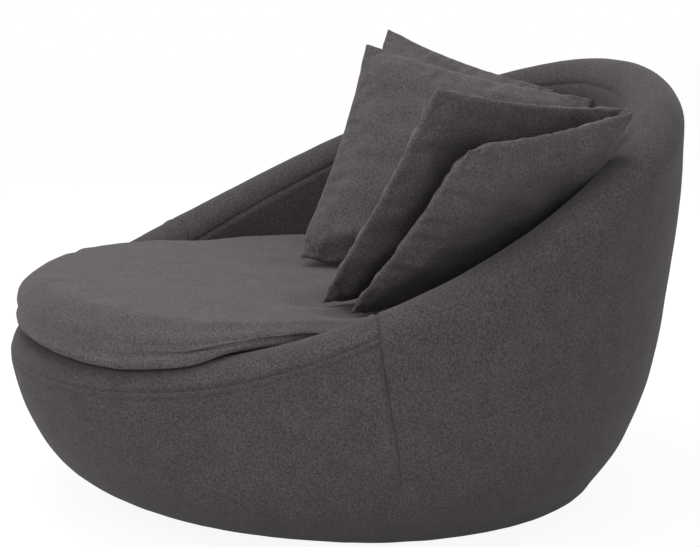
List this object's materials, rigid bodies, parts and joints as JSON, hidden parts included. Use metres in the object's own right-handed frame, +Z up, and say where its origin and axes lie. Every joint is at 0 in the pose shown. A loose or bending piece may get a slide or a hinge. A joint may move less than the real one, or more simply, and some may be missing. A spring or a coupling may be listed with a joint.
{
  "type": "cuddle chair",
  "caption": "Round upholstered armchair: an egg-shaped bowl with a rolled rim rising to a high back, a loose seat cushion and loose square scatter cushions",
  "frame": {"origin": "middle of the whole chair's footprint, on the floor", "axes": "+Z up, front towards -Y, +X towards the side that is on the seated person's left"},
  "size_m": [1.3, 1.3338, 0.8903],
  "materials": {
    "fabric": "matt short-pile woven",
    "foam": "open-cell foam",
    "wadding": "polyester wadding",
    "filling": "fibre filling",
    "plywood": "sanded plywood",
    "webbing": "elastic webbing",
    "glide": "matt moulded",
    "lining": "non-woven",
    "zip": "matt"
  },
  "bodies": {
    "bowl": {"outer_cover_front": "fabric", "outer_cover_back": "fabric", "rim_cover": "fabric", "outer_padding_front": "wadding", "outer_skin_front": "plywood", "outer_padding_back": "wadding", "outer_skin_back": "plywood", "rim_foam_front": "foam", "rim_rail_front": "plywood", "rim_foam_back": "foam", "rim_rail_back": "plywood", "inner_back_cover": "fabric", "back_foam": "foam", "inner_back_panel": "plywood", "rib_1": "plywood", "rib_2": "plywood", "rib_3": "plywood", "rib_4": "plywood", "rib_5": "plywood", "rib_6": "plywood", "rib_7": "plywood", "rib_8": "plywood", "rib_9": "plywood", "base_board": "plywood", "glide_1": "glide", "glide_2": "glide", "glide_3": "glide", "glide_4": "glide", "glide_5": "glide", "glide_6": "glide", "dust_cover": "lining", "deck_ring": "plywood", "deck_strap_long_1": "webbing", "deck_strap_long_2": "webbing", "deck_strap_long_3": "webbing", "deck_strap_long_4": "webbing", "deck_strap_cross_1": "webbing", "deck_strap_cross_2": "webbing", "deck_strap_cross_3": "webbing", "deck_strap_cross_4": "webbing", "deck_pad": "wadding", "deck_cover": "fabric"},
    "seat_cushion": {"seat_cushion_cover": "fabric", "seat_cushion_core": "foam", "seat_cushion_zip": "zip"},
    "scatter_cushion_1": {"scatter_cover_1": "fabric", "scatter_pad_1": "filling", "scatter_zip_1": "zip"},
    "scatter_cushion_2": {"scatter_cover_2": "fabric", "scatter_pad_2": "filling", "scatter_zip_2": "zip"},
    "scatter_cushion_3": {"scatter_cover_3": "fabric", "scatter_pad_3": "filling", "scatter_zip_3": "zip"},
    "scatter_cushion_4": {"scatter_cover_4": "fabric", "scatter_pad_4": "filling", "scatter_zip_4": "zip"}
  },
  "joints": [
    {"name": "seat_cushion_lift", "type": "slide", "parent": "bowl", "child": "seat_cushion", "axis": [0, 0, 1], "range_m": [0, 0.25]},
    {"name": "scatter_cushion_1_lift", "type": "slide", "parent": "seat_cushion", "child": "scatter_cushion_1", "axis": [0, 0, 1], "range_m": [0, 0.25]},
    {"name": "scatter_cushion_2_lift", "type": "slide", "parent": "seat_cushion", "child": "scatter_cushion_2", "axis": [-0.3749, 0.4968, 0.7827], "range_m": [0, 0.25]},
    {"name": "scatter_cushion_3_lift", "type": "slide", "parent": "seat_cushion", "child": "scatter_cushion_3", "axis": [0.5738, 0.157, 0.8038], "range_m": [0, 0.25]},
    {"name": "scatter_cushion_4_lift", "type": "slide", "parent": "seat_cushion", "child": "scatter_cushion_4", "axis": [0.5821, 0.192, 0.7901], "range_m": [0, 0.25]}
  ]
}
